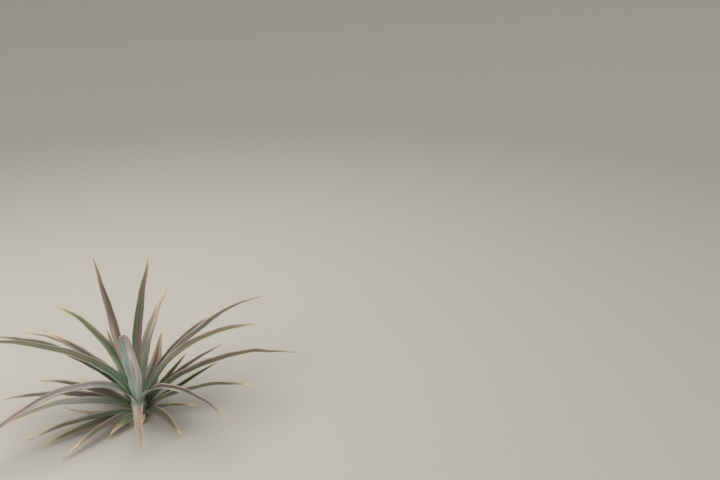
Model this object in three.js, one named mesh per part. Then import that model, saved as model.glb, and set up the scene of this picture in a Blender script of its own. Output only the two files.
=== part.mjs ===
import * as THREE from "three";

// A young pineapple plant: a short stem with a rosette of sword leaves.
// Millimetres and degrees, up is +Z. The stem's flat cut lies at z = 0, centred on the origin.

const rad = THREE.MathUtils.degToRad;
const UP = new THREE.Vector3(0, 0, 1);

const STEM = {
  cutRadius: 24,
  shoulderRadius: 33,
  shoulderHeight: 35,
  domeHeight: 60,
  sides: 24,
  lowRings: 4,
  domeRings: 7,
};

const SEAT_GAP = 0.4;
const SEAT_SWELL = 1.022;
const LOWEST_SEAT = 12;
const LOW_SEATS = 28;
const TOP_SEAT_ANGLE = 84;
const JOINT_GAP = 0.4;
const JOINT_CLEAR = 0.015;

const BLADE = {
  thickness: 2.6,
  tipThickness: 0.9,
  channel: 0.22,
  flare: 0.3,
  flareLength: 45,
  claspAngle: 54,
  channelFrom: 35,
  channelTo: 95,
  taperPower: 2.4,
  leastTaper: 0.02,
  twistPower: 1.5,
  shoulderDepth: 0.8,
  ringSpacing: 52,
  ringCrowding: 1.2,
  fewestRings: 5,
  lastRing: 0.97,
};

const OLDEST_GREEN = new THREE.Color(0x7f7658);
const YOUNGEST_GREEN = new THREE.Color(0x6b8a66);
const LEAF_ROUGHNESS = 0.55;
const STEM_COLOUR = new THREE.Color(0x8a8468);
const STEM_ROUGHNESS = 0.9;

// One row a leaf, from the lowest and oldest to the innermost. Turn is the heading in plan, rise and
// end the slopes at the stem and at the tip. A bend below 1 puts the bending near the stem, above 1
// near the tip. Twist turns the blade about its own length by the tip. Joint is the share of the
// length at which a strongly arched leaf is parted in two.
const LEAVES = [
  { seat: 0, turn: 248, long: 139, wide: 30, rise: 13, end: -8, bend: 1, twist: 20 },
  { seat: 1, turn: 191, long: 266, wide: 18, rise: -6, end: 31, bend: 1, twist: 40 },
  { seat: 4, turn: 78, long: 250, wide: 28, rise: 8, end: 0, bend: 1, twist: 20 },
  { seat: 5, turn: 214, long: 326, wide: 30, rise: 9, end: -12, bend: 1, twist: -18 },
  { seat: 8, turn: 112, long: 380, wide: 34, rise: 18, end: -2, bend: 1, twist: -22 },
  { seat: 9, turn: 210, long: 394, wide: 36, rise: 16, end: -13, bend: 1, twist: 10 },
  { seat: 12, turn: 345, long: 272, wide: 26, rise: 26, end: 7, bend: 1, twist: -14 },
  { seat: 14, turn: 156, long: 320, wide: 32, rise: 13, end: 2, bend: 1, twist: 16 },
  { seat: 16, turn: 23, long: 329, wide: 30, rise: 28, end: 20, bend: 1, twist: 12 },
  { seat: 21, turn: 325, long: 239, wide: 42, rise: 30, end: -40, bend: 1, twist: 18 },
  { seat: 21, turn: 235, long: 301, wide: 32, rise: 11, end: -19, bend: 1, twist: 14 },
  { seat: 23, turn: 137, long: 290, wide: 32, rise: 15, end: 6, bend: 1, twist: -18 },
  { seat: 27, turn: 189, long: 497, wide: 34, rise: 31, end: -11, bend: 1, twist: 14 },
  { seat: 27, turn: 5, long: 145, wide: 26, rise: 34, end: 12, bend: 1, twist: -12 },
  { seat: 30, turn: 75, long: 290, wide: 50, rise: 32, end: 74, bend: 1, twist: -14 },
  { seat: 30, turn: 206, long: 457, wide: 46, rise: 38, end: -28, bend: 1.2, twist: -10 },
  { seat: 32, turn: 347, long: 534, wide: 34, rise: 39, end: 1, bend: 1, twist: 16 },
  { seat: 35, turn: 35, long: 388, wide: 34, rise: 36, end: 11, bend: 1, twist: -18 },
  { seat: 37, turn: 190, long: 357, wide: 32, rise: 43, end: 8, bend: 1, twist: 18 },
  { seat: 38, turn: 128, long: 240, wide: 34, rise: 47, end: 24, bend: 1, twist: -20 },
  { seat: 40, turn: 30, long: 242, wide: 34, rise: 40, end: 48, bend: 1, twist: 16 },
  { seat: 42, turn: 292, long: 300, wide: 46, rise: 58, end: -68, bend: 1, twist: -6 },
  { seat: 42, turn: 138, long: 317, wide: 36, rise: 44, end: 78, bend: 1, twist: 14 },
  { seat: 45, turn: 160, long: 632, wide: 32, rise: 69, end: -10, bend: 0.6, twist: 22 },
  { seat: 46, turn: 10, long: 678, wide: 46, rise: 44, end: -17, bend: 1, twist: -12 },
  { seat: 49, turn: 113, long: 250, wide: 34, rise: 63, end: 30, bend: 1, twist: 18 },
  { seat: 51, turn: 49, long: 439, wide: 32, rise: 61, end: 4, bend: 1, twist: 20 },
  { seat: 54, turn: 170, long: 694, wide: 36, rise: 73, end: -7, bend: 0.5, twist: -12, joint: 0.26 },
  { seat: 55, turn: 29, long: 672, wide: 46, rise: 61, end: 0, bend: 1, twist: -14 },
  { seat: 58, turn: 331, long: 517, wide: 46, rise: 87, end: -24, bend: 0.45, twist: -14, joint: 0.22 },
  { seat: 58, turn: 166, long: 462, wide: 32, rise: 84, end: 19, bend: 0.35, twist: 26 },
  { seat: 61, turn: 87, long: 200, wide: 34, rise: 56, end: 34, bend: 1, twist: -12 },
  { seat: 62, turn: 215, long: 646, wide: 54, rise: 99, end: -45, bend: 0.45, twist: 12, joint: 0.22 },
  { seat: 66, turn: 14, long: 588, wide: 46, rise: 65, end: -9, bend: 1, twist: 16 },
  { seat: 69, turn: 185, long: 724, wide: 48, rise: 87, end: -8, bend: 0.5, twist: 14, joint: 0.26 },
  { seat: 70, turn: 290, long: 490, wide: 54, rise: 84, end: 18, bend: 2, twist: 8 },
  { seat: 76, turn: 172, long: 494, wide: 50, rise: 84, end: 29, bend: 1, twist: 10 },
  { seat: 80, turn: 62, long: 440, wide: 50, rise: 79, end: 43, bend: 1, twist: -16 },
  { seat: 86, turn: 156, long: 587, wide: 46, rise: 80, end: 82, bend: 1, twist: -12 },
  { seat: 93, turn: 78, long: 562, wide: 46, rise: 84, end: 50, bend: 1, twist: 14 },
  { seat: 95, turn: 200, long: 180, wide: 26, rise: 84, end: 80, bend: 1, twist: 12 },
  { seat: 97, turn: 320, long: 150, wide: 20, rise: 86, end: 78, bend: 1, twist: -14 },
  { seat: 100, turn: 60, long: 120, wide: 16, rise: 87, end: 84, bend: 1 },
];

function stemRadius(height) {
  const { cutRadius, shoulderRadius, shoulderHeight, domeHeight } = STEM;
  if (height < shoulderHeight) {
    const swell = Math.sin((Math.PI / 2) * (height / shoulderHeight));
    return cutRadius + (shoulderRadius - cutRadius) * swell;
  }
  return shoulderRadius * Math.sqrt(Math.max(0, 1 - ((height - shoulderHeight) / domeHeight) ** 2));
}

// Where a leaf leaves the stem: seats 0 to 28 climb the club, 28 to 100 go over its domed top.
// The radius is a little over the stem's, so that the flat facets of a leaf's foot stay clear of it.
function footAt(seat) {
  if (seat < LOW_SEATS) {
    const z = LOWEST_SEAT + (STEM.shoulderHeight - LOWEST_SEAT) * (seat / LOW_SEATS);
    return { r: stemRadius(z) * SEAT_SWELL + SEAT_GAP, z };
  }
  const angle = rad((TOP_SEAT_ANGLE * (seat - LOW_SEATS)) / (100 - LOW_SEATS));
  const r = STEM.shoulderRadius * Math.cos(angle) * SEAT_SWELL + SEAT_GAP;
  const z = STEM.shoulderHeight + STEM.domeHeight * Math.sin(angle) + SEAT_GAP;
  return { r, z };
}

function centreLine(leaf) {
  const steps = 100;
  const line = [];
  let { r, z } = footAt(leaf.seat);
  for (let i = 0; i <= steps; i++) {
    const share = i / steps;
    const slope = rad(leaf.rise + (leaf.end - leaf.rise) * share ** leaf.bend);
    line.push({ share, along: share * leaf.long, r, z, slope });
    r += (Math.cos(slope) * leaf.long) / steps;
    z += (Math.sin(slope) * leaf.long) / steps;
  }
  return line;
}

// One ring round the blade: margin, three points of the upper face, margin, three of the lower face.
// Near the stem the blade wraps round the stem's axis; further out it is a free channel that may twist.
function ring(leaf, spot) {
  const { thickness, tipThickness, channel, flare, flareLength, claspAngle } = BLADE;
  const taper = Math.max(BLADE.leastTaper, 1 - spot.share ** BLADE.taperPower);
  const sword = leaf.wide * taper * (1 + flare * Math.exp(-spot.along / flareLength));
  const half = Math.min(sword / 2, rad(claspAngle) * spot.r);
  const thick = tipThickness + (thickness - tipThickness) * (1 - spot.share);
  const free = THREE.MathUtils.smoothstep(spot.r, BLADE.channelFrom, BLADE.channelTo);
  const twist = rad(leaf.twist ?? 0) * spot.share ** BLADE.twistPower;
  const side = new THREE.Vector3(0, 1, 0);
  const up = new THREE.Vector3(-Math.sin(spot.slope), 0, Math.cos(spot.slope));
  const along = new THREE.Vector3(Math.cos(spot.slope), 0, Math.sin(spot.slope));
  side.applyAxisAngle(along, twist);
  up.applyAxisAngle(along, twist);
  const point = (across, depth) => {
    const u = across * half;
    const angle = u / spot.r;
    const wrapped = spot.r * (1 - free);
    const p = new THREE.Vector3(spot.r + wrapped * (Math.cos(angle) - 1), wrapped * Math.sin(angle), spot.z);
    const inward = up.clone().applyAxisAngle(UP, angle * (1 - free));
    p.addScaledVector(side, u * free);
    p.addScaledVector(up, free * channel * half * 2 * across ** 2);
    return p.addScaledVector(inward, -depth * thick).applyAxisAngle(UP, rad(leaf.turn));
  };
  const shoulder = BLADE.shoulderDepth;
  return [
    point(1, 0),
    point(0.5, 0),
    point(0, 0),
    point(-0.5, 0),
    point(-1, 0),
    point(-0.5, shoulder),
    point(0, 1),
    point(0.5, shoulder),
  ];
}

// Skin over rings of equal count. The diagonals of the two halves of a ring run the same way, so that
// a thin blade's two faces stay parallel where it twists. A strip of faces from edge to edge closes an
// end, which may be curved round the stem; with a tip given, the last ring closes at that point instead.
function skin(rings, tip) {
  const sides = rings[0].length;
  const points = rings.flat();
  const faces = [];
  for (let k = 0; k + 1 < rings.length; k++) {
    for (let i = 0; i < sides; i++) {
      const j = (i + 1) % sides;
      const [a, b] = [k * sides + i, k * sides + j];
      const [c, d] = [a + sides, b + sides];
      if (i < sides / 2) faces.push(a, b, d, a, d, c);
      else faces.push(a, b, c, b, d, c);
    }
  }
  const last = (rings.length - 1) * sides;
  const strip = (first, flip) => {
    const add = (a, b, c) => faces.push(first + a, first + (flip ? c : b), first + (flip ? b : c));
    for (let i = 0; i < sides / 2; i++) {
      const far = sides - i;
      if (far - 1 > i + 1) add(i, far - 1, i + 1);
      if (i > 0) add(i, far, far - 1);
    }
  };
  strip(0, false);
  if (tip) {
    points.push(tip);
    for (let i = 0; i < sides; i++) faces.push(last + i, last + ((i + 1) % sides), points.length - 1);
  } else {
    strip(last, true);
  }
  const geometry = new THREE.BufferGeometry().setFromPoints(points);
  geometry.setIndex(faces);
  geometry.computeVertexNormals();
  return geometry;
}

function spotAt(line, share) {
  const place = share * (line.length - 1);
  const k = Math.min(Math.floor(place), line.length - 2);
  const mix = (key) => THREE.MathUtils.lerp(line[k][key], line[k + 1][key], place - k);
  return { share, along: mix("along"), r: mix("r"), z: mix("z"), slope: mix("slope") };
}

// The blade as one solid, or as two where the leaf arches over so far that it is parted at the bend.
function leafSolids(leaf, name) {
  const line = centreLine(leaf);
  const count = BLADE.fewestRings + Math.round(leaf.long / BLADE.ringSpacing);
  const shares = [];
  for (let k = 0; k < count; k++) shares.push(BLADE.lastRing * (k / (count - 1)) ** BLADE.ringCrowding);
  const rings = (list) => list.map((share) => ring(leaf, spotAt(line, share)));
  const end = line[line.length - 1];
  const tip = new THREE.Vector3(end.r, 0, end.z).applyAxisAngle(UP, rad(leaf.turn));
  if (!leaf.joint) return [[name, skin(rings(shares), tip)]];
  const half = JOINT_GAP / 2 / leaf.long;
  const foot = shares.filter((share) => share < leaf.joint - JOINT_CLEAR);
  const blade = shares.filter((share) => share > leaf.joint + JOINT_CLEAR);
  return [
    [`${name}_foot`, skin(rings([...foot, leaf.joint - half]))],
    [`${name}_blade`, skin(rings([leaf.joint + half, ...blade]), tip)],
  ];
}

function stemGeometry() {
  const { shoulderHeight, domeHeight, sides, lowRings, domeRings } = STEM;
  const heights = [];
  for (let k = 0; k <= lowRings; k++) heights.push((shoulderHeight * k) / lowRings);
  for (let k = 1; k < domeRings; k++) {
    heights.push(shoulderHeight + domeHeight * Math.sin(((Math.PI / 2) * k) / domeRings));
  }
  const rings = heights.map((z) =>
    Array.from({ length: sides }, (_, i) => {
      const angle = (2 * Math.PI * i) / sides;
      return new THREE.Vector3(Math.cos(angle), Math.sin(angle), 0).multiplyScalar(stemRadius(z)).setZ(z);
    })
  );
  return skin(rings, new THREE.Vector3(0, 0, shoulderHeight + domeHeight));
}

function named(name, geometry, colour, roughness) {
  const material = new THREE.MeshStandardMaterial({ color: colour, roughness, metalness: 0 });
  const mesh = new THREE.Mesh(geometry, material);
  mesh.name = name;
  return mesh;
}

const group = new THREE.Group();
group.add(named("stem", stemGeometry(), STEM_COLOUR, STEM_ROUGHNESS));
LEAVES.forEach((leaf, i) => {
  const label = `leaf_${String(i + 1).padStart(2, "0")}`;
  const green = OLDEST_GREEN.clone().lerp(YOUNGEST_GREEN, leaf.seat / 100);
  for (const [name, geometry] of leafSolids(leaf, label)) {
    group.add(named(name, geometry, green, LEAF_ROUGHNESS));
  }
});

export default group;
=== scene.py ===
import math
import random
from contextlib import contextmanager

import bmesh
import bpy
from bpy.props import FloatProperty, FloatVectorProperty, IntProperty, PointerProperty
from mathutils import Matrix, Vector


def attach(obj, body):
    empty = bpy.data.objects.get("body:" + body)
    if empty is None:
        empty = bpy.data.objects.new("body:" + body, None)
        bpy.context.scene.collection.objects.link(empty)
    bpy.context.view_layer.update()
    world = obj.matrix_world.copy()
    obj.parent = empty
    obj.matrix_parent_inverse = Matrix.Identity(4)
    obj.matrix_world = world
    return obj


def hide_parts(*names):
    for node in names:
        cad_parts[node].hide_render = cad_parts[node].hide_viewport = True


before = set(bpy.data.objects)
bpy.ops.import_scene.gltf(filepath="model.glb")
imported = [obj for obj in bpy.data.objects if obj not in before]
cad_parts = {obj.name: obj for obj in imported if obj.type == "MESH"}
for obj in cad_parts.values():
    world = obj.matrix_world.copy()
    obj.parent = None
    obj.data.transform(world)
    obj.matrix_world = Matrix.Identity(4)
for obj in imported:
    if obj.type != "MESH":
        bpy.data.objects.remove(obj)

bl_info = {
    "name": "Pineapple plant",
    "version": (1, 0, 0),
    "blender": (4, 5, 0),
    "location": "3D View > Sidebar > Plant",
    "description": "Grows the leaves and the stem of a young pineapple plant on its packed frame",
    "category": "Add Mesh",
}

# Leaves are counted from the lowest and oldest up to the innermost.
OLD_LEAVES = range(1, 15)
SPREADING_LEAVES = range(15, 36)
HEART_LEAVES = range(36, 44)

# A leaf's control mesh has eight points a ring, in this order: the left margin, three over the
# upper face, the right margin and three under it. Left is as seen from the stem, looking along the
# leaf. Each point has its place across the leaf, from the left margin to the right one.
RING = 8
LEFT_MARGIN = 0
RIGHT_MARGIN = 4
UNDER_COLUMNS = {5, 6, 7}
ACROSS = (0, 0.25, 0.5, 0.75, 1, 0.75, 0.5, 0.25)
UPPER, UNDER = 0, 1

# How far each point of a ring goes down where the channel deepens, as a share of its depth.
CHANNEL_DROPS = (((1, 3, 5, 7), 0.7), ((2, 6), 1.0))

# The clasp round the stem has the broadest rings of a leaf, and keeps its size and its section.
CLASP_RINGS = 2

# Shares of a leaf's length: where it begins to broaden and is fully broadened, where its channel
# begins to deepen, and how long the border of its withered end is.
CLASP_END, CLASP_FREE = 0.08, 0.28
CHANNEL_START = 0.12
DRY_FADE = 0.04

TOUCHING = 1e-5  # metres between points that count as one
JOINT_GAP = 0.0007  # metres between the two parts that the frame has of a long leaf
STEM_TOP = 0.1  # metres
SMOOTH_ANGLE = math.radians(50)

# Streaks along a leaf: their width and length in metres, a shift that sets each kind apart, and how
# fine their detail is.
STREAKS = {
    "veins": (0.0011, 0.11, 0.0, 1.0),
    "bands": (0.007, 0.16, 5.0, 2.0),
    "clouds": (0.03, 0.06, 9.0, 4.0),
    "fray": (0.008, 0.05, 13.0, 2.0),
    "browned": (0.005, 0.03, 17.0, 3.0),
    "spots": (0.0035, 0.008, 23.0, 1.0),
    "patches": (0.02, 0.12, 31.0, 2.0),
}
UNDER_LINES = 0.0021  # metres from one scurfy line of an under face to the next
RIBS = 0.0016  # metres from one fine rib of a blade to the next

# Where something fades in along a leaf, from none at the first share of its length to full at the
# second.
HEART_ZONE = (0.02, 0.32)
# Along this zone the painted light at the foot gives way to a slight darkening.
FOOT_LIGHT_ZONE = (0.05, 0.6)
OUTWARD_ZONE = (0.04, 0.4)
BLUSH_ZONE = (0.2, 0.9)
YELLOW_ZONE = (0.3, 1.1)

# The same across a leaf, from its middle at 0 to its margins at 1, and how far to each side the
# seam between its halves is blurred.
CHANNEL_ZONE = (0.04, 0.5)
SHEEN_ZONE = (0.1, 0.9)
SEAM_BLUR = 0.3

# The lamps of the stage: the property that holds a lamp's power, its size and its place in metres.
LAMPS = {
    "overhead": ("overhead", 3.5, (-0.6, 0.8, 4.2)),
    "left_front": ("side", 2.5, (-2.6, -2.6, 2.4)),
}
LAMP_AIM = (0, 0, 0.25)
SKY_TINT = (1.0, 0.99, 0.97, 1.0)
SENSOR = 36  # millimetres
FLOOR_SIDES = 96
COVE_STEPS = 8


# How a leaf looks where nothing else is said. Tone is how light it is: its own lightness, with
# painted light on some leaves and painted shade on others. The tones of its two halves are how
# light they are beside that: partly their own, and partly painted light on one half and painted
# shade on the other. Left and right are their mauve flush, left_light and right_light their pale
# sheen, and seam is where they meet, from -1 at the left margin to 1 at the right one. Blush is a
# pinkish tan, bloom the silvery scurf, olive how far it yellows, and rim how broad and pale its
# margins are. Dry is the share of its length that has withered, foot how much lighter it is
# towards its foot, a painted light against the shade in the heart of the plant, and inside the
# share of its light that its upper face keeps: of its sheen and of its painted lightness. Fold is
# how far its channel deepens, and width its breadth beyond the clasp.
PLAIN_LOOK = {
    "tone": 1.0, "green": 0.5, "left": 0.3, "right": 0.3, "left_light": 0.1, "right_light": 0.1,
    "left_tone": 1.0, "right_tone": 1.0, "seam": 0.0, "blush": 0.1, "bloom": 0.1, "olive": 0.1,
    "rim": 0.7, "dry": 0.06, "foot": 0.22, "inside": 1.0, "fold": 1.0, "width": 1.0,
}


def look(**own):
    """The look of one leaf: the plain one, with the leaf's own values in their places."""
    return {**PLAIN_LOOK, **own}


LOOKS = {
    1: look(tone=2.2, green=0.4, left=0.1, right=0.1, right_light=0.5, blush=0.4, olive=1.0,
            rim=2.0, dry=0.4, width=1.7),
    2: look(tone=1.3, green=0.4, left=0.1, right=0.1, olive=1.5, rim=1.4, dry=0.35, width=1.9),
    3: look(green=0.4, right=0.4, blush=0.3, olive=0.3, dry=0.2),
    4: look(tone=0.9, green=0.9, left=0.4, right=0.4, olive=0.5, rim=1.1, dry=0.08, width=1.2),
    5: look(left=0.4, olive=0.3, dry=0.1),
    6: look(tone=0.8, green=0.8, left=0.4, right=0.5, right_light=0.3, olive=0.7, rim=1.5, dry=0.14,
            width=1.06),
    7: look(tone=0.9, green=0.4, left=0.4, left_light=0.3, olive=1.3, rim=1.4, dry=0.25, width=1.1),
    8: look(tone=0.7, green=0.4, left=0.5, right=0.4, olive=0.2, dry=0.15),
    9: look(tone=0.58, green=1.0, left=0.2, right=0.0, left_light=0.2, bloom=0.0, olive=0.4,
            rim=1.2, dry=0.04),
    10: look(tone=0.8, left=0.5, right=0.5, right_light=0.5, bloom=0.0, rim=0.9, dry=0.08),
    11: look(tone=0.95, left=0.8, right=0.9, right_tone=0.85, blush=0.55, olive=0.3, rim=0.8,
             dry=0.25, width=1.12),
    12: look(right=0.4, olive=0.2, dry=0.1),
    13: look(tone=0.62, green=0.4, right=0.9, left_light=0.3, blush=0.3, olive=0.3, rim=1.4,
             width=1.4),
    14: look(tone=0.7, green=0.8, bloom=0.0, rim=0.5, dry=0.05),
    15: look(tone=1.15, green=0.6, left=0.6, right=0.7, right_light=0.4, blush=0.8, olive=0.15,
             rim=1.8, dry=0.12, width=1.45),
    16: look(green=0.4, left=0.9, right=0.1, left_light=0.8, right_light=0.5, blush=0.3, bloom=0.2,
             rim=1.4, dry=0.04),
    17: look(tone=0.58, green=0.6, left_tone=0.8, blush=0.2, olive=0.5, rim=0.9, dry=0.08),
    18: look(tone=0.66, green=0.7, left=0.5, olive=0.2, rim=0.6, dry=0.05),
    19: look(tone=0.85, green=0.4, left=0.9, right=0.7, blush=0.2, bloom=0.0, rim=1.4, dry=0.1,
             fold=-0.5, width=1.6),
    20: look(tone=0.9, left=0.4, right=0.4, blush=0.2, rim=0.8, dry=0.07),
    21: look(tone=1.05, green=1.0, left=0.2, right=0.0, blush=0.0, bloom=0.0, olive=1.2, rim=1.2),
    22: look(tone=1.3, green=0.1, left=0.7, right=0.55, right_light=0.6, left_tone=0.75, blush=1.0,
             rim=0.8, dry=0.1, foot=0.5, width=0.88),
    23: look(tone=1.05, green=0.2, left=0.9, right=0.8, blush=0.8, olive=0.6, rim=2.0, dry=0.2,
             width=1.08),
    24: look(tone=0.8, green=0.4, right=0.6, left_light=0.8, blush=0.6, olive=0.2, rim=1.5),
    25: look(tone=0.68, green=0.7, left=0.6, right=0.5, blush=0.3, bloom=0.0, olive=0.5, dry=0.04),
    26: look(tone=0.9, left=0.5, blush=0.2, rim=0.9),
    27: look(tone=0.52, left=0.5, right=0.5, blush=0.5, olive=0.4, rim=0.8, dry=0.04),
    28: look(tone=0.8, green=0.8, right=0.4, left_light=0.4, right_light=0.0, right_tone=0.85,
             blush=0.3, rim=0.8),
    29: look(tone=0.62, green=0.2, left=0.6, right=0.9, left_light=0.0, blush=0.6, olive=0.2,
             foot=1.0),
    30: look(tone=0.8, green=0.2, left=0.9, left_light=0.0, right_light=1.1, left_tone=0.5,
             seam=-0.3, blush=0.5, rim=0.6, dry=0.03, foot=0.5),
    31: look(tone=0.52, green=0.3, right=0.8, left_light=0.7, blush=0.7, olive=0.2, rim=1.5,
             dry=0.12, width=1.25),
    32: look(tone=0.9, left=0.5, right=0.4, blush=0.2, rim=0.9),
    33: look(tone=0.8, green=0.1, left=0.4, right=1.0, left_light=1.0, right_tone=0.8, seam=0.35,
             blush=1.0, bloom=0.45, rim=0.6, dry=0.03, foot=0.5),
    34: look(tone=0.92, green=1.0, left=0.6, right=0.4, left_tone=0.92, blush=0.25, bloom=0.12,
             olive=0.4, rim=0.4, dry=0.04, foot=0.5),
    35: look(tone=1.25, green=1.0, right=0.5, left_light=0.55, right_tone=0.72, seam=-0.2,
             olive=0.3, dry=0.03, fold=-1.0, width=1.1),
    36: look(tone=1.25, left=0.0, right=0.1, left_light=2.2, blush=0.0, bloom=1.0, olive=0.0,
             foot=-0.15, inside=0.3, fold=0.0, width=1.12),
    37: look(tone=1.55, green=1.0, left=0.0, right=0.0, left_light=0.5, right_tone=0.7, blush=0.3,
             bloom=0.2, olive=0.2, dry=0.03),
    38: look(tone=1.4, green=0.7, left=0.5, right=0.7, left_light=0.5, left_tone=1.2, seam=0.2,
             blush=0.6, bloom=0.25, rim=1.3, dry=0.03, width=1.35),
    39: look(tone=1.25, green=0.0, left=1.0, right=1.0, left_light=0.9, right_tone=0.8, seam=0.25,
             blush=0.4, rim=0.6, dry=0.02),
    40: look(green=1.0, left=0.0, right=0.8, left_tone=1.1, right_tone=0.85, seam=-0.3, bloom=0.15,
             rim=0.3, dry=0.02),
    41: look(tone=1.4, green=0.7, left=0.1, right=0.1, left_light=0.3, blush=0.0, rim=0.5,
             dry=0.02),
    42: look(tone=1.4, green=0.8, left=0.0, right=0.0, left_light=0.2, blush=0.0, rim=0.5,
             dry=0.02),
    43: look(tone=1.4, green=0.8, left=0.0, right=0.0, left_light=0.2, blush=0.0, rim=0.5,
             dry=0.02),
}


def length(name, description, default):
    """A property that is a length in metres."""
    return FloatProperty(name=name, description=description, default=default, min=0, unit="LENGTH")


def share(name, description, default):
    """A property from 0 to 1."""
    return FloatProperty(
        name=name, description=description, default=default, min=0, max=1, subtype="FACTOR"
    )


def power(name, description, default):
    """The power or the strength of a light."""
    return FloatProperty(name=name, description=description, default=default, min=0)


def angle(name, description, degrees):
    """A property that is an angle."""
    default = math.radians(degrees)
    return FloatProperty(name=name, description=description, default=default, subtype="ANGLE")


def count(name, description, default, least, most):
    """A property that is a whole number."""
    return IntProperty(name=name, description=description, default=default, min=least, max=most)


def linear(level):
    """A display level from 0 to 255 as scene light."""
    level /= 255
    return level / 12.92 if level <= 0.04045 else ((level + 0.055) / 1.055) ** 2.4


def colour(name, description, *levels):
    """A colour property, given by its display levels."""
    default = [linear(level) for level in levels]
    return FloatVectorProperty(
        name=name, description=description, default=default, size=3, min=0, max=1, subtype="COLOR"
    )


class LeafShape(bpy.types.PropertyGroup):
    """How far a grown leaf strays from the plain blade of the frame."""

    smoothing: count("Smoothing", "Subdivisions of a leaf's control mesh", 3, 1, 4)
    channel: share("Channel", "Depth that the channel gains, as a share of the width", 0.05)
    sway: length("Sway", "How far slow bends carry a blade off its arc", 0.012)
    sway_size: length("Sway size", "Width of a slow bend", 0.13)
    ripple: length("Ripple", "How far small waves lift a blade", 0.0025)
    ripple_size: length("Ripple size", "Width of a small wave", 0.035)
    crumple: length("Crumple", "How far a withered tip is crumpled", 0.006)
    crumple_size: length("Crumple size", "Width of a crumple", 0.009)
    still_radius: length("Still radius", "Distance from the stem that nothing sways within", 0.05)
    free_radius: length("Free radius", "Distance from the stem that blades sway beyond", 0.16)
    tip_shrink: share("Tip shrink", "Share of its width that a withered tip loses", 0.2)
    tip_curl: angle("Tip curl", "Most that each ring of a withered tip turns", 5)
    curl_start: share("Curl start", "Share of its length beyond which a withered tip curls", 0.86)
    still_height: length("Still height", "Height above the ground below which nothing sways", 0.05)


class LeafColours(bpy.types.PropertyGroup):
    """The plant's own colours."""

    deep_green: colour("Deep green", "Blade of a green leaf", 70, 112, 48)
    grey_green: colour("Grey green", "Blade under its scurf", 116, 146, 116)
    # The bases' own pale green, made lighter as a painted light against the shade in the heart.
    heart_green: colour("Heart green", "Blade near the heart of the plant", 148, 172, 134)
    # A darker green at the bottom of the channel, partly its own and partly painted shade.
    keel_green_and_shade: colour("Keel green", "Bottom of the channel", 50, 72, 42)
    mauve: colour("Mauve", "Flush on the sunny halves", 142, 97, 102)
    # The flush's dark red in the channel, partly its own and partly painted shade.
    wine_and_shade: colour("Wine", "Flush at the bottom of the channel", 106, 60, 50)
    blush: colour("Blush", "Pinkish tan of old blades", 208, 168, 150)
    bloom: colour("Bloom", "Silvery scurf", 178, 197, 191)
    sheen: colour("Sheen", "Pale half of a blade", 232, 226, 226)
    rim: colour("Rim", "Thin margin of a blade", 232, 212, 198)
    olive: colour("Olive", "Yellowing blade", 150, 142, 60)
    straw: colour("Straw", "Withered tip", 236, 216, 184)
    rust: colour("Rust", "Brown of a withered tip", 170, 118, 84)


class StemLooks(bpy.types.PropertyGroup):
    """The short stem between the leaf bases."""

    scar_height: length("Scar height", "Distance between leaf scars", 0.006)
    scar_depth: length("Scar depth", "Depth of the grooves between leaf scars", 0.0022)
    bark: colour("Bark", "Dry skin of the stem", 150, 126, 92)
    scar: colour("Scar", "Leaf scars", 98, 74, 50)
    young: colour("Young skin", "Pale green skin between the living leaf bases", 186, 202, 180)
    green_height: length("Green height", "Height above which the stem is green", 0.03)
    base_count: count("Withered bases", "Dead leaf bases round the foot", 9, 0, 20)
    base_length: length("Base length", "Length of a dead leaf base", 0.058)
    base_width: length("Base width", "Width of a dead leaf base", 0.026)


class StageLooks(bpy.types.PropertyGroup):
    """The floor, the lights and the camera."""

    floor_colour: colour("Floor", "Plain pale floor", 205, 200, 192)
    floor_radius: length("Floor radius", "Flat part of the floor", 6.0)
    cove_radius: length("Cove radius", "Round corner between floor and wall", 3.0)
    wall_height: length("Wall height", "Height of the wall above its round corner", 1.9)
    eye_height: length("Eye height", "Height of the camera", 1.5)
    eye_side: length("Eye to the right", "How far to the plant's right the camera is", 0.8874)
    eye_back: length("Eye distance", "How far in front of the plant the camera is", 1.8413)
    eye_pitch: angle("Pitch", "How far the camera looks down", 22)
    focal: FloatProperty(
        name="Focal length", description="Lens, on a 36 mm sensor", default=28, unit="CAMERA"
    )
    sky: power("Sky", "Strength of the even light", 0.63)
    overhead: power("Overhead", "Power of the large lamp above", 62)
    side: power("Side", "Power of the lamp at the left front", 42)


class Wire:
    """A value in a material. Arithmetic with numbers or other wires adds the Math nodes for it."""

    def __init__(self, finish, socket):
        self.finish = finish
        self.socket = socket

    def maths(self, operation, *values):
        return self.finish.node("ShaderNodeMath", {"operation": operation}, dict(enumerate(values)))

    def __add__(self, other):
        return self.maths("ADD", self, other)

    def __sub__(self, other):
        return self.maths("SUBTRACT", self, other)

    def __rsub__(self, other):
        return self.maths("SUBTRACT", other, self)

    def __mul__(self, other):
        return self.maths("MULTIPLY", self, other)

    def __truediv__(self, other):
        return self.maths("DIVIDE", self, other)

    def __rtruediv__(self, other):
        return self.maths("DIVIDE", other, self)

    def __abs__(self):
        return self.maths("ABSOLUTE", self)

    __radd__ = __add__
    __rmul__ = __mul__


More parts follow.
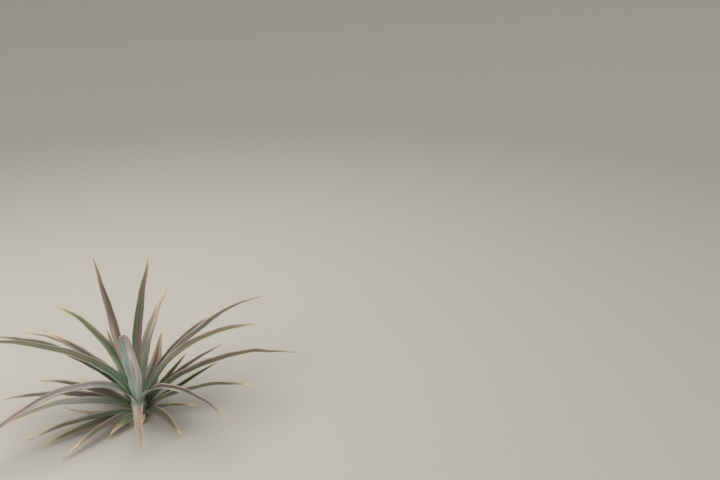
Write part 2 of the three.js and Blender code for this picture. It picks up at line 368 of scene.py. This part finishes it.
class Finish:
    """A procedural material whose nodes are written as expressions."""

    def __init__(self, name):
        self.material = bpy.data.materials.new(name)
        self.material.use_nodes = True
        self.tree = self.material.node_tree
        self.shader = self.tree.nodes["Principled BSDF"]

    def node(self, kind, settings, values, output=0):
        """Adds a node: its settings first, then the numbers or wires of its sockets."""
        made = self.tree.nodes.new(kind)
        for key, value in settings.items():
            setattr(made, key, value)
        for key, value in values.items():
            self.feed(made.inputs[key], value)
        return Wire(self, made.outputs[output])

    def feed(self, socket, value):
        if isinstance(value, Wire):
            self.tree.links.new(value.socket, socket)
        else:
            socket.default_value = value

    def mix(self, amount, first, second):
        values = {0: amount, 6: first, 7: second}
        return self.node("ShaderNodeMix", {"data_type": "RGBA"}, values, output=2)

    def soft(self, value, low, high):
        """0 below low and 1 above high, smooth between them."""
        values = {"Value": value, "From Min": low, "From Max": high}
        return self.node("ShaderNodeMapRange", {"interpolation_type": "SMOOTHSTEP"}, values)

    def noise(self, x, y, z, detail):
        """Noise with a grain of about 1 in each of the three numbers."""
        place = self.node("ShaderNodeCombineXYZ", {}, {0: x, 1: y, 2: z})
        values = {"Vector": place, "Scale": 1.0, "Detail": detail}
        return self.node("ShaderNodeTexNoise", {}, values)

    def sine(self, value):
        return value.maths("SINE", value)

    def xyz(self, vector):
        split = self.node("ShaderNodeSeparateXYZ", {}, {0: vector}).socket.node
        return [Wire(self, socket) for socket in split.outputs]

    def done(self, base, roughness, height, relief):
        """Feeds the shader: base colour, roughness, and a relief of that many metres for a height
        of 1."""
        self.feed(self.shader.inputs["Base Color"], base)
        self.feed(self.shader.inputs["Roughness"], roughness)
        values = {"Strength": 1.0, "Distance": relief, "Height": height}
        self.feed(self.shader.inputs["Normal"], self.node("ShaderNodeBump", {}, values))
        return self.material


def solid(rgb):
    return (*rgb, 1.0)


class LeafFinish(Finish):
    """The finish of one face of one leaf. It is laid on in coats, and each coat takes the colour of
    the blade so far and gives back its own."""

    def __init__(self, number, long, half, under):
        """Long is the leaf's length in metres, and half its half width."""
        super().__init__(f"leaf_{number:02d}_{'under' if under else 'upper'}")
        self.tints = bpy.context.scene.plant_colours
        self.style = LOOKS[number]
        self.under = under
        # The share of the sheen and of the painted lightness that this face keeps.
        self.kept = 1.0 if under else self.style["inside"]
        # Each leaf has streaks of its own on each face.
        self.seed = number * 7.31 + 3.7 * under
        u, self.v, _ = self.xyz(self.node("ShaderNodeUVMap", {"uv_map": "blade"}, {}))
        side = u * 2 - 1
        self.edge = abs(side)
        self.across = side * half
        self.along = self.v * long
        self.outward = self.soft(self.v, *OUTWARD_ZONE)
        self.channel = 1 - self.soft(self.edge, *CHANNEL_ZONE)
        # The map counts from the left margin, so the right half is where side is over the seam.
        seam = self.style["seam"]
        self.right = self.soft(side, seam - SEAM_BLUR, seam + SEAM_BLUR)
        self.left = 1 - self.right
        self.veins = self.streaks("veins")
        self.bands = self.soft(self.streaks("bands"), 0.34, 0.66)
        self.clouds = self.streaks("clouds")
        # The withered end has a frayed border.
        self.start = 1 - self.style["dry"]
        self.ending = self.v + self.edge * 0.04 + (self.streaks("fray") - 0.5) * 0.1
        self.dry = self.soft(self.ending, self.start - 0.03, self.start + 0.04)
        self.browned = self.soft(self.streaks("browned"), 0.5, 0.8)

    def streaks(self, kind):
        width, length, shift, detail = STREAKS[kind]
        return self.noise(self.across / width, self.along / length, self.seed + shift, detail)

    def halves(self, left, right):
        """One value of the look over the left half, and another over the right one."""
        return self.left * self.style[left] + self.right * self.style[right]

    def coat(self, amount, blade, tint):
        return self.mix(amount, blade, solid(getattr(self.tints, tint)))

    def green(self):
        """Paler near the heart and darker along the channel: partly painted light and shade."""
        tints = self.tints
        blade = self.mix(self.style["green"], solid(tints.grey_green), solid(tints.deep_green))
        # Paler near the heart: its own pale bases, and a painted light against the shade there.
        blade = self.coat((1 - self.soft(self.v, *HEART_ZONE)) * 0.85, blade, "heart_green")
        # Painted shade, with some darker green of its own, along the bottom of the channel.
        return self.coat(self.channel * (0.1 if self.under else 0.3), blade, "keel_green_and_shade")

    def flush(self, blade):
        """Mauve in bands and patches, and a dark red with painted shade along the channel."""
        patches = self.soft(self.streaks("patches"), 0.36, 0.64)
        amount = self.halves("left", "right") * (0.25 + 0.75 * self.outward)
        amount = amount * (0.35 + 0.6 * self.bands + 0.7 * patches) * (1 - 0.4 * self.channel)
        # A dark red in the channel, partly its own colour and partly painted shade.
        mauve = self.coat(self.channel * 0.8, solid(self.tints.mauve), "wine_and_shade")
        return self.mix(amount, blade, mauve)

    def blush(self, blade):
        """Pinkish tan, from near the foot towards the tip."""
        amount = self.soft(self.v, *BLUSH_ZONE) * (0.5 + self.bands)
        return self.coat(amount * (0.05 + 0.9 * self.style["blush"]), blade, "blush")

    def bloom(self, blade):
        """Silvery scurf, which lies in fine lines on the under face."""
        amount = self.style["bloom"] * 0.8 + (0.3 if self.under else 0.0)
        amount = (0.3 + 1.4 * self.clouds) * amount * (1.9 - 1.1 * self.outward)
        if self.under:
            lines = self.sine(self.across * (math.tau / UNDER_LINES)) + self.veins * 1.6
            amount = amount * (0.5 + 0.9 * self.soft(lines, 0.2, 1.4))
        return self.coat(amount, blade, "bloom")

    def sheen(self, blade):
        """The pale light on the halves, stronger towards their margins."""
        amount = self.halves("left_light", "right_light") * self.kept
        amount = amount * (0.5 + 0.5 * self.soft(self.edge, *SHEEN_ZONE))
        amount = amount * (0.5 + 0.5 * self.outward) * (0.5 + 0.7 * self.bands)
        return self.coat(amount, blade, "sheen")

    def olive(self, blade):
        """Yellowing towards the tip."""
        amount = self.soft(self.v + self.bands * 0.3, *YELLOW_ZONE) * self.style["olive"]
        return self.coat(amount * 0.8, blade, "olive")

    def tone(self, blade):
        """How light the blade is. Thin veins show as fine lines all along it."""
        foot = self.style["foot"]
        value = 0.42 + 0.9 * self.veins + 0.26 * self.bands
        # Its own lightness with painted light and shade; an upper face keeps only its share.
        value = value * (self.style["tone"] * (0.55 + 0.45 * self.kept))
        # Partly painted light on one half of the blade and painted shade on the other.
        value = value * self.halves("left_tone", "right_tone")
        # Painted light towards the foot, against the shade in the heart, and darker further out.
        value = value * (1 + foot - (foot + 0.14) * self.soft(self.v, *FOOT_LIGHT_ZONE))
        # Painted light up the channel further out, where it faces the sky.
        if not self.under:
            value = value * (1 + 0.16 * self.channel * self.outward)
        values = {"Color": blade, "Value": value, "Saturation": 1.15}
        return self.node("ShaderNodeHueSaturation", {}, values)

    def rim(self, blade):
        """Pale margins of uneven breadth, fainter on the right half."""
        breadth = self.style["rim"]
        inner = 0.9 - 0.1 * breadth
        amount = self.soft(self.edge + (self.bands - 0.5) * 0.07, inner - 0.05, inner + 0.07)
        amount = amount * min(0.95, 0.4 + 0.4 * breadth) * (1 - 0.35 * self.right)
        return self.coat(amount, blade, "rim")

    def withered(self, blade):
        """A straw-coloured tip, browned in places, with a halo before it, and a few spots."""
        halo = self.soft(self.ending, self.start - 0.16, self.start + 0.01)
        blade = self.coat(halo * 0.5, blade, "straw")
        straw = self.coat(self.browned * 0.75, solid(self.tints.straw), "rust")
        blade = self.mix(self.dry, blade, straw)
        spots = self.soft(self.streaks("spots"), 0.72, 0.8) * 0.4
        return self.coat(spots * (1 - self.dry), blade, "straw")

    def painted(self):
        """The material, with its coats in their order."""
        blade = self.green()
        for coat in (
            self.flush, self.blush, self.bloom, self.sheen, self.olive, self.tone, self.rim,
            self.withered,
        ):
            blade = coat(blade)
        roughness = 0.22 + 0.2 * self.clouds + self.dry * 0.4
        ribs = self.sine(self.across * (math.tau / RIBS)) * 0.25
        height = ribs + self.veins + self.dry * self.browned
        return self.done(blade, roughness, height, relief=0.00035)


def stem_finish():
    """Dry tan skin with darker leaf scars, and pale green between the living leaf bases."""
    looks = bpy.context.scene.plant_stem
    finish = Finish("stem_skin")
    x, y, z = finish.xyz(finish.node("ShaderNodeTexCoord", {}, {}, "Object"))
    fine, coarse = 240, 50  # grains a metre
    grain = finish.noise(x * fine, y * fine, z * (fine / 4), 4.0)
    blotch = finish.noise(x * coarse, y * coarse, z * coarse, 3.0)
    rings = finish.sine(z * (math.tau / looks.scar_height) + blotch * 5) * 0.5 + 0.5
    scars = finish.soft(rings + blotch * 0.4, 0.75, 1.15)
    skin = finish.mix(scars, solid(looks.bark), solid(looks.scar))
    dirt = finish.soft(grain, 0.5, 0.75) * 0.5
    skin = finish.mix(dirt, skin, solid([0.5 * c for c in looks.scar]))
    fade = 0.012  # metres
    green = finish.soft(z + blotch * fade, looks.green_height, looks.green_height + fade)
    skin = finish.mix(green * 0.97, skin, solid(looks.young))
    return finish.done(skin, 0.75 + 0.2 * grain, grain + rings, relief=0.0009)


def withered_finish():
    """Straw with brown streaks along each dead leaf base."""
    tints = bpy.context.scene.plant_colours
    finish = Finish("withered_base")
    u, v, _ = finish.xyz(finish.node("ShaderNodeUVMap", {"uv_map": "blade"}, {}))
    streak = finish.noise(u * 26, v * 3, 2.0, 3.0)
    patch = finish.noise(u * 5, v * 6, 8.0, 3.0)
    brown = finish.soft(patch + streak * 0.4 - v * 0.15, 0.55, 0.9)
    skin = finish.mix(brown, solid(tints.straw), solid(tints.rust))
    return finish.done(skin, 0.8 + 0.1 * streak, streak + patch, relief=0.0008)


def floor_finish():
    """Plain pale floor, of a faint grain."""
    finish = Finish("floor")
    x, y, _ = finish.xyz(finish.node("ShaderNodeTexCoord", {}, {}, "Object"))
    grain = finish.noise(x * 90, y * 90, 0.0, 3.0)
    tone = bpy.context.scene.plant_stage.floor_colour
    pale = finish.mix(grain * 0.12, solid(tone), solid([0.9 * c for c in tone]))
    return finish.done(pale, 0.8 + 0.1 * grain, grain, relief=0.0004)


def only(piece):
    """Selects this object alone and makes it the active one."""
    bpy.ops.object.select_all(action="DESELECT")
    piece.select_set(True)
    bpy.context.view_layer.objects.active = piece


@contextmanager
def editing(piece):
    """Edit mode on one object, with nothing selected."""
    only(piece)
    bpy.ops.object.mode_set(mode="EDIT")
    bpy.ops.mesh.select_mode(type="VERT")
    bpy.ops.mesh.select_all(action="DESELECT")
    yield
    bpy.ops.object.mode_set(mode="OBJECT")


def pick(piece, kind, wanted):
    """Selects the points, edges or faces of the edited mesh that wanted approves, and no others."""
    bpy.ops.mesh.select_mode(type=kind)
    bpy.ops.mesh.select_all(action="DESELECT")
    mesh = bmesh.from_edit_mesh(piece.data)
    for item in {"VERT": mesh.verts, "EDGE": mesh.edges, "FACE": mesh.faces}[kind]:
        if wanted(item):
            item.select_set(True)
    mesh.select_flush_mode()
    bmesh.update_edit_mesh(piece.data)


def modify(piece, kind, **settings):
    """Adds a modifier and applies it."""
    only(piece)
    modifier = piece.modifiers.new(kind.lower(), kind)
    for key, value in settings.items():
        setattr(modifier, key, value)
    bpy.ops.object.modifier_apply(modifier=modifier.name)


def clouds(name, size):
    """A coloured cloud texture, whose three channels push points along the three axes."""
    texture = bpy.data.textures.new(name, "CLOUDS")
    texture.cloud_type = "COLOR"
    texture.noise_scale = size
    texture.noise_depth = 1
    return texture


def push(piece, texture, strength, group=""):
    """Moves each point by the clouds at its own place: what lies together moves together."""
    modify(
        piece, "DISPLACE", texture=texture, texture_coords="LOCAL", direction="RGB_TO_XYZ",
        strength=strength, mid_level=0.5, vertex_group=group,
    )


def copied(name, node):
    """A new object with its own mesh, merged, from the mesh of a frame node."""
    piece = bpy.data.objects.new(name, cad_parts[node].data.copy())
    bpy.context.scene.collection.objects.link(piece)
    with editing(piece):
        bpy.ops.mesh.select_all(action="SELECT")
        bpy.ops.mesh.remove_doubles(threshold=TOUCHING)
        bpy.ops.mesh.customdata_custom_splitnormals_clear()
    while piece.data.uv_layers:
        piece.data.uv_layers.remove(piece.data.uv_layers[0])
    piece.data.materials.clear()
    return piece


def united(foot, blade):
    """One leaf from the two parts that the frame has: their end faces go, and the gap is closed."""
    first, second = ([face.center.copy() for face in part.data.polygons] for part in (foot, blade))
    meeting = set()
    for i, a in enumerate(first):
        for j, b in enumerate(second):
            if (a - b).length < JOINT_GAP:
                meeting |= {i, j + len(first)}
    if not meeting:
        raise RuntimeError(f"{foot.name} has no joint to close")
    only(foot)
    blade.select_set(True)
    bpy.ops.object.join()
    with editing(foot):
        pick(foot, "FACE", lambda face: face.index in meeting)
        bpy.ops.mesh.delete(type="FACE")
        pick(foot, "EDGE", lambda edge: edge.is_boundary)
        bpy.ops.mesh.remove_doubles(threshold=JOINT_GAP)
    return foot


class Rings:
    """The edited mesh read as rings of points, counted from the tip, where all of ring 1 meets."""

    def __init__(self, piece):
        self.mesh = bmesh.from_edit_mesh(piece.data)
        tip = next((v for v in self.mesh.verts if len(v.link_edges) == RING), None)
        if not tip:
            raise RuntimeError(f"{piece.name} has no tip")
        self.rings = [[tip]]
        self.level = {tip: 0}
        while len(self.level) < len(self.mesh.verts):
            met = {e.other_vert(v) for v in self.rings[-1] for e in v.link_edges}
            self.rings.append([v for v in met if v not in self.level])
            self.level.update({v: len(self.rings) - 1 for v in self.rings[-1]})
            if len(self.rings[-1]) != RING:
                raise RuntimeError(f"{piece.name} has a ring of {len(self.rings[-1])} points")
        self.centres = [sum((v.co for v in ring), Vector()) / len(ring) for ring in self.rings]
        ahead = [0.0]
        for a, b in zip(self.centres, self.centres[1:]):
            ahead.append(ahead[-1] + (b - a).length)
        self.long = ahead[-1]
        self.share = [1 - along / self.long for along in ahead]
        self.column = self.columns()

    def towards_tip(self, vert):
        near = (e.other_vert(vert) for e in vert.link_edges)
        return [v for v in near if self.level[v] == self.level[vert] - 1]

    def columns(self):
        """Each point's place in its ring. The faces' turn gives the order, and the right margin is
        the one point from which no slanting edge runs on towards the tip."""
        after = {}
        for face in self.mesh.faces:
            a, b, c = face.verts
            for v, n, top in ((a, b, c), (b, c, a), (c, a, b)):
                if self.level[v] == self.level[n] == self.level[top] + 1:
                    after[v] = n
        column = {}
        for ring in reversed(self.rings[2:]):
            margin = next(v for v in ring if len(self.towards_tip(v)) == 1)
            self.count_round(margin, after, column)
        self.count_round(self.towards_tip(margin)[0], after, column)
        return column

    def count_round(self, margin, after, column):
        for step in range(RING):
            column[margin] = (RIGHT_MARGIN + step) % RING
            margin = after[margin]

    def choose(self, wanted):
        """Selects the points whose ring and column wanted approves. The tip has column -1."""
        for vert in self.mesh.verts:
            vert.select_set(wanted(self.level[vert], self.column.get(vert, -1)))
        self.mesh.select_flush_mode()

    def slanting(self, edge):
        """Whether an edge is the diagonal of a four-sided face."""
        a, b = edge.verts
        if 0 in (self.level[a], self.level[b]) or self.level[a] == self.level[b]:
            return False
        return self.column[a] != self.column[b]

    def half_width(self):
        """Half the width of the broadest ring outside the clasp."""
        widths = []
        for ring in self.rings[1:]:
            place = {self.column[v]: v.co for v in ring}
            widths.append((place[LEFT_MARGIN] - place[RIGHT_MARGIN]).length / 2)
        return sorted(widths)[-1 - CLASP_RINGS]


def eased(value, low, high):
    """0 below low and 1 above high, smooth between them."""
    t = min(1.0, max(0.0, (value - low) / (high - low)))
    return t * t * (3 - 2 * t)


def map_blade(piece):
    """Gives a leaf its map: across from the left margin at 0 to the right one at 1, and along from
    foot to tip. The upper and the under face get material slots of their own. Returns the leaf's
    length and half its width."""
    piece.data.uv_layers.new(name="blade")
    with editing(piece):
        rings = Rings(piece)
        layer = rings.mesh.loops.layers.uv["blade"]
        for face in rings.mesh.faces:
            columns = [rings.column[v] for v in face.verts if rings.level[v]]
            middle = sum(ACROSS[column] for column in columns) / len(columns)
            face.material_index = UNDER if UNDER_COLUMNS.intersection(columns) else UPPER
            for loop in face.loops:
                level = rings.level[loop.vert]
                u = ACROSS[rings.column[loop.vert]] if level else middle
                loop[layer].uv = (u, rings.share[level])
        sizes = rings.long, rings.half_width()
    return sizes


def scale_ring(piece, rings, level, scale):
    """Scales one ring round its centre, and reads the mesh anew."""
    rings.choose(lambda ring, column: ring == level)
    bpy.ops.transform.resize(value=(scale, scale, scale), center_override=rings.centres[level])
    return Rings(piece)


def broaden(piece, width):
    """Scales the rings beyond the clasp, little by little from there on."""
    with editing(piece):
        rings = Rings(piece)
        for level in range(1, len(rings.rings)):
            reached = eased(rings.share[level], CLASP_END, CLASP_FREE)
            rings = scale_ring(piece, rings, level, 1 + (width - 1) * reached)


def deepen(piece, fold):
    """Lowers the middle of each ring beyond the clasp, so that the blade is more of a channel."""
    shape = bpy.context.scene.plant_shape
    with editing(piece):
        rings = Rings(piece)
        for level in range(1, len(rings.rings)):
            if rings.share[level] < CHANNEL_START:
                break
            place = {rings.column[v]: v.co for v in rings.rings[level]}
            across = place[RIGHT_MARGIN] - place[LEFT_MARGIN]
            ahead = rings.centres[level - 1] - rings.centres[level]
            down = ahead.cross(across).normalized() * across.length * shape.channel * fold
            for columns, drop in CHANNEL_DROPS:
                rings.choose(lambda ring, column: ring == level and column in columns)
                bpy.ops.transform.translate(value=down * drop)
                rings = Rings(piece)


def wither(piece, number):
    """Narrows the dry end of a leaf ring by ring, and curls its last part."""
    shape = bpy.context.scene.plant_shape
    chance = random.Random(number)
    start = 1 - LOOKS[number]["dry"]
    with editing(piece):
        rings = Rings(piece)
        for level in [k for k in range(1, len(rings.rings)) if rings.share[k] > start]:
            depth = (rings.share[level] - start) / (1 - start)
            rings = scale_ring(piece, rings, level, 1 - shape.tip_shrink * depth)
            if rings.share[level] < shape.curl_start:
                continue
            rings.choose(lambda ring, column: ring < level)
            for axis in "XYZ":
                turn = chance.uniform(-shape.tip_curl, shape.tip_curl)
                bpy.ops.transform.rotate(
                    value=turn, orient_axis=axis, center_override=rings.centres[level]
                )
            rings = Rings(piece)


def crease_and_square(piece):
    """Keeps margins, foot and tip sharp, then makes four-sided faces of the triangles."""
    with editing(piece):
        rings = Rings(piece)
        foot = len(rings.rings) - 1

        def sharp(edge):
            a, b = edge.verts
            columns = {rings.column[v] for v in edge.verts if v in rings.column}
            if len(columns) == 1 and columns <= {LEFT_MARGIN, RIGHT_MARGIN}:
                return True
            at_foot = rings.level[a] == rings.level[b] == foot and not edge.is_boundary
            return at_foot and abs(rings.column[a] - rings.column[b]) in (1, RING - 1)

        pick(piece, "EDGE", sharp)
        bpy.ops.transform.edge_crease(value=1)
        rings = Rings(piece)
        pick(piece, "EDGE", rings.slanting)
        bpy.ops.mesh.dissolve_edges(use_verts=False)


def weigh(piece, name, weight):
    """A vertex group whose weights come from each point's place."""
    group = piece.vertex_groups.new(name=name)
    for vert in piece.data.vertices:
        group.add([vert.index], weight(vert), "REPLACE")


def free_of_stem(vert):
    """0 near the stem and 1 where the blades are free."""
    shape = bpy.context.scene.plant_shape
    reach = math.hypot(vert.co.x, vert.co.y) + max(0.0, vert.co.z - STEM_TOP)
    off_ground = min(1.0, vert.co.z / shape.still_height)
    return eased(reach, shape.still_radius, shape.free_radius) * off_ground


def grow_leaf(number):
    """One leaf, grown on the blade that the frame holds for it."""
    shape = bpy.context.scene.plant_shape
    nodes = sorted((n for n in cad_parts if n.startswith(f"leaf_{number:02d}")), reverse=True)
    parts = [copied(f"sword_leaf_{number:02d}", node) for node in nodes]
    leaf = united(*parts) if len(parts) > 1 else parts[0]
    long, half = map_blade(leaf)
    broaden(leaf, LOOKS[number]["width"])
    deepen(leaf, LOOKS[number]["fold"])
    wither(leaf, number)
    crease_and_square(leaf)
    for under in (False, True):
        leaf.data.materials.append(LeafFinish(number, long, half, under).painted())
    modify(leaf, "SUBSURF", levels=shape.smoothing, render_levels=shape.smoothing, uv_smooth="NONE")
    weigh(leaf, "free", free_of_stem)
    start = 1 - LOOKS[number]["dry"]
    heights = {}
    for loop, spot in zip(leaf.data.loops, leaf.data.uv_layers["blade"].uv):
        heights[loop.vertex_index] = spot.vector.y
    weigh(leaf, "dry", lambda vert: min(1.0, max(0.0, (heights[vert.index] - start) / DRY_FADE)))
    push(leaf, bpy.data.textures["sway"], shape.sway, "free")
    push(leaf, bpy.data.textures["ripple"], shape.ripple, "free")
    push(leaf, bpy.data.textures["crumple"], shape.crumple, "dry")
    bpy.ops.object.shade_smooth_by_angle(angle=SMOOTH_ANGLE)
    leaf.vertex_groups.clear()
    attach(leaf, "root")
    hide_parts(*nodes)


def grow_leaves(numbers):
    """Grows these leaves, with the three sizes of unevenness that all leaves share."""
    shape = bpy.context.scene.plant_shape
    sizes = {"sway": shape.sway_size, "ripple": shape.ripple_size, "crumple": shape.crumple_size}
    for name, size in sizes.items():
        if name not in bpy.data.textures:
            clouds(name, size)
    for number in numbers:
        grow_leaf(number)


class PLANT_OT_old_leaves(bpy.types.Operator):
    """Grows the low outer leaves, some of them withered"""

    bl_idname = "plant.old_leaves"
    bl_label = "Old leaves"

    def execute(self, context):
        grow_leaves(OLD_LEAVES)
        return {"FINISHED"}


class PLANT_OT_spreading_leaves(bpy.types.Operator):
    """Grows the long leaves that arch over all round"""

    bl_idname = "plant.spreading_leaves"
    bl_label = "Spreading leaves"

    def execute(self, context):
        grow_leaves(SPREADING_LEAVES)
        return {"FINISHED"}


class PLANT_OT_heart_leaves(bpy.types.Operator):
    """Grows the upright leaves in the middle of the plant"""

    bl_idname = "plant.heart_leaves"
    bl_label = "Heart leaves"

    def execute(self, context):
        grow_leaves(HEART_LEAVES)
        return {"FINISHED"}


class PLANT_OT_stem(bpy.types.Operator):
    """Makes the short stem with its leaf scars"""

    bl_idname = "plant.stem"
    bl_label = "Stem"

    def execute(self, context):
        looks = context.scene.plant_stem
        stem = copied("scarred_stem", "stem")
        with editing(stem):
            bpy.ops.mesh.select_all(action="SELECT")
            bpy.ops.mesh.tris_convert_to_quads(face_threshold=1.0, shape_threshold=1.0)
            pick(stem, "EDGE", lambda edge: all(v.co.z < TOUCHING for v in edge.verts))
            bpy.ops.transform.edge_crease(value=1)
        modify(stem, "SUBSURF", levels=3, render_levels=3)
        cut_edge = 0.002  # metres that stay as they are above the cut
        weigh(stem, "skin", lambda vert: 1.0 if vert.co.z > cut_edge else 0.0)
        scars = bpy.data.textures.new("scars", "WOOD")
        scars.wood_type = "BANDNOISE"
        scars.noise_scale = looks.scar_height
        scars.turbulence = 4
        modify(
            stem, "DISPLACE", texture=scars, texture_coords="LOCAL", strength=looks.scar_depth,
            mid_level=1.0, vertex_group="skin",
        )
        bpy.ops.object.shade_smooth()
        stem.vertex_groups.clear()
        stem.data.materials.append(stem_finish())
        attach(stem, "root")
        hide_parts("stem")
        return {"FINISHED"}


class PLANT_OT_withered_bases(bpy.types.Operator):
    """Lays the dead, torn leaf bases round the foot of the stem"""

    bl_idname = "plant.withered_bases"
    bl_label = "Withered bases"

    def execute(self, context):
        looks = context.scene.plant_stem
        chance = random.Random(12)
        bases = [withered_base(i, looks, chance) for i in range(looks.base_count)]
        only(bases[0])
        for base in bases[1:]:
            base.select_set(True)
        bpy.ops.object.join()
        whole = bases[0]
        whole.name = whole.data.name = "withered_bases"
        whole.data.materials.append(withered_finish())
        bpy.ops.object.shade_smooth_by_angle(angle=SMOOTH_ANGLE)
        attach(whole, "root")
        return {"FINISHED"}


def withered_base(index, looks, chance):
    """One short dead strap, from the foot of the stem down to the ground. It is laid along X and
    then turned to its heading."""
    bpy.ops.mesh.primitive_grid_add(x_subdivisions=8, y_subdivisions=4, size=1, calc_uvs=True)
    strap = bpy.context.view_layer.objects.active
    strap.name = f"strap_{index}"
    strap.data.uv_layers[0].name = "blade"
    long = looks.base_length * chance.uniform(0.7, 1.15)
    shift, rise = 0.004, 0.004  # metres, of the torn end to a side and of the margins upwards
    with editing(strap):
        bpy.ops.mesh.select_all(action="SELECT")
        bpy.ops.transform.translate(value=(0.5, 0, 0))
        bpy.ops.transform.resize(value=(long, looks.base_width, 1), center_override=(0, 0, 0))
        pick(strap, "VERT", lambda v: v.co.x > 0.6 * long)
        bpy.ops.transform.resize(value=(1, 0.7, 1), center_override=(long, 0, 0))
        pick(strap, "VERT", lambda v: v.co.x > 0.9 * long)
        torn = (long, chance.uniform(-shift, shift), 0)
        bpy.ops.transform.resize(value=(1, 0.5, 1), center_override=torn)
        pick(strap, "VERT", lambda v: abs(v.co.y) > 0.3 * looks.base_width)
        bpy.ops.transform.translate(value=(0, 0, rise))
    modify(strap, "SOLIDIFY", thickness=0.0011, offset=0)
    modify(strap, "SUBSURF", levels=2, render_levels=2)
    twist = chance.uniform(-0.5, 0.5)
    modify(strap, "SIMPLE_DEFORM", deform_method="TWIST", deform_axis="X", angle=twist)
    push(strap, clouds("scrap", size=0.012), strength=0.009)
    first = 0.35  # radians
    heading = math.tau * (index + chance.uniform(-0.2, 0.2)) / looks.base_count + first
    away, lift = 0.026, 0.011  # metres
    with editing(strap):
        bpy.ops.mesh.select_all(action="SELECT")
        droop = -chance.uniform(0.02, 0.12)
        bpy.ops.transform.rotate(value=droop, orient_axis="Y", center_override=(0, 0, 0))
        bpy.ops.transform.translate(value=(away, 0, lift))
        bpy.ops.transform.rotate(value=heading, orient_axis="Z", center_override=(0, 0, 0))
    return strap


class PLANT_OT_stage(bpy.types.Operator):
    """Makes the pale floor, the soft lights and the camera"""

    bl_idname = "plant.stage"
    bl_label = "Stage"

    def execute(self, context):
        looks = context.scene.plant_stage
        floor = pale_floor(looks)
        floor.data.materials.append(floor_finish())
        for name, (strength, size, place) in LAMPS.items():
            soft_light(name, getattr(looks, strength), size, Vector(place))
        sky = bpy.data.worlds.new("sky")
        sky.use_nodes = True
        background = sky.node_tree.nodes["Background"]
        background.inputs["Color"].default_value = SKY_TINT
        background.inputs["Strength"].default_value = looks.sky
        context.scene.world = sky
        context.scene.view_settings.view_transform = "Standard"
        eye = (looks.eye_side, -looks.eye_back, looks.eye_height)
        bpy.ops.object.camera_add(location=eye, rotation=(math.pi / 2 - looks.eye_pitch, 0, 0))
        camera = context.view_layer.objects.active
        camera.name = "camera"
        camera.data.lens = looks.focal
        camera.data.sensor_width = SENSOR
        context.scene.camera = camera
        return {"FINISHED"}


def pale_floor(looks):
    """A flat disc that rises into a wall by a round corner."""
    reach = looks.floor_radius
    bpy.ops.mesh.primitive_circle_add(vertices=FLOOR_SIDES, radius=reach, fill_type="NGON")
    floor = bpy.context.view_layer.objects.active
    floor.name = "floor"
    turns = [math.pi / 2 * k / COVE_STEPS for k in range(COVE_STEPS + 1)]
    with editing(floor):
        pick(floor, "EDGE", lambda edge: edge.is_boundary)
        for before, now in zip(turns, turns[1:]):
            rise = looks.cove_radius * (math.cos(before) - math.cos(now))
            out = looks.cove_radius * (math.sin(now) - math.sin(before))
            bpy.ops.mesh.extrude_edges_move(TRANSFORM_OT_translate={"value": (0, 0, rise)})
            grown = (reach + out) / reach
            bpy.ops.transform.resize(value=(grown, grown, 1), center_override=(0, 0, 0))
            reach += out
        rise = looks.wall_height
        bpy.ops.mesh.extrude_edges_move(TRANSFORM_OT_translate={"value": (0, 0, rise)})
    bpy.ops.object.shade_smooth()
    return floor


def soft_light(name, energy, size, place):
    """A large square lamp that looks at the plant."""
    aim = (Vector(LAMP_AIM) - place).to_track_quat("-Z", "Y").to_euler()
    bpy.ops.object.light_add(type="AREA", location=place, rotation=aim)
    lamp = bpy.context.view_layer.objects.active
    lamp.name = name
    lamp.data.energy = energy
    lamp.data.size = size


class PLANT_PT_sidebar(bpy.types.Panel):
    """Sizes, colours and makers of the plant"""

    bl_idname = "PLANT_PT_sidebar"
    bl_label = "Pineapple plant"
    bl_space_type = "VIEW_3D"
    bl_region_type = "UI"
    bl_category = "Plant"

    def draw(self, context):
        for operator in MAKERS:
            self.layout.operator(operator.bl_idname)
        for name, group in GROUPS.items():
            box = self.layout.box()
            for key in group.__annotations__:
                box.prop(getattr(context.scene, name), key)


MAKERS = (
    PLANT_OT_stem,
    PLANT_OT_old_leaves,
    PLANT_OT_spreading_leaves,
    PLANT_OT_heart_leaves,
    PLANT_OT_withered_bases,
    PLANT_OT_stage,
)
GROUPS = {
    "plant_shape": LeafShape,
    "plant_colours": LeafColours,
    "plant_stem": StemLooks,
    "plant_stage": StageLooks,
}


def register():
    for kind in (*GROUPS.values(), *MAKERS, PLANT_PT_sidebar):
        bpy.utils.register_class(kind)
    for name, group in GROUPS.items():
        setattr(bpy.types.Scene, name, PointerProperty(type=group))


def unregister():
    for name in GROUPS:
        delattr(bpy.types.Scene, name)
    for kind in (PLANT_PT_sidebar, *reversed(MAKERS), *reversed(GROUPS.values())):
        bpy.utils.unregister_class(kind)


def main():
    register()
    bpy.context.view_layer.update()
    bpy.ops.plant.stem()
    bpy.ops.plant.old_leaves()
    bpy.ops.plant.spreading_leaves()
    bpy.ops.plant.heart_leaves()
    bpy.ops.plant.withered_bases()
    bpy.ops.plant.stage()


if __name__ == "__main__":
    main()
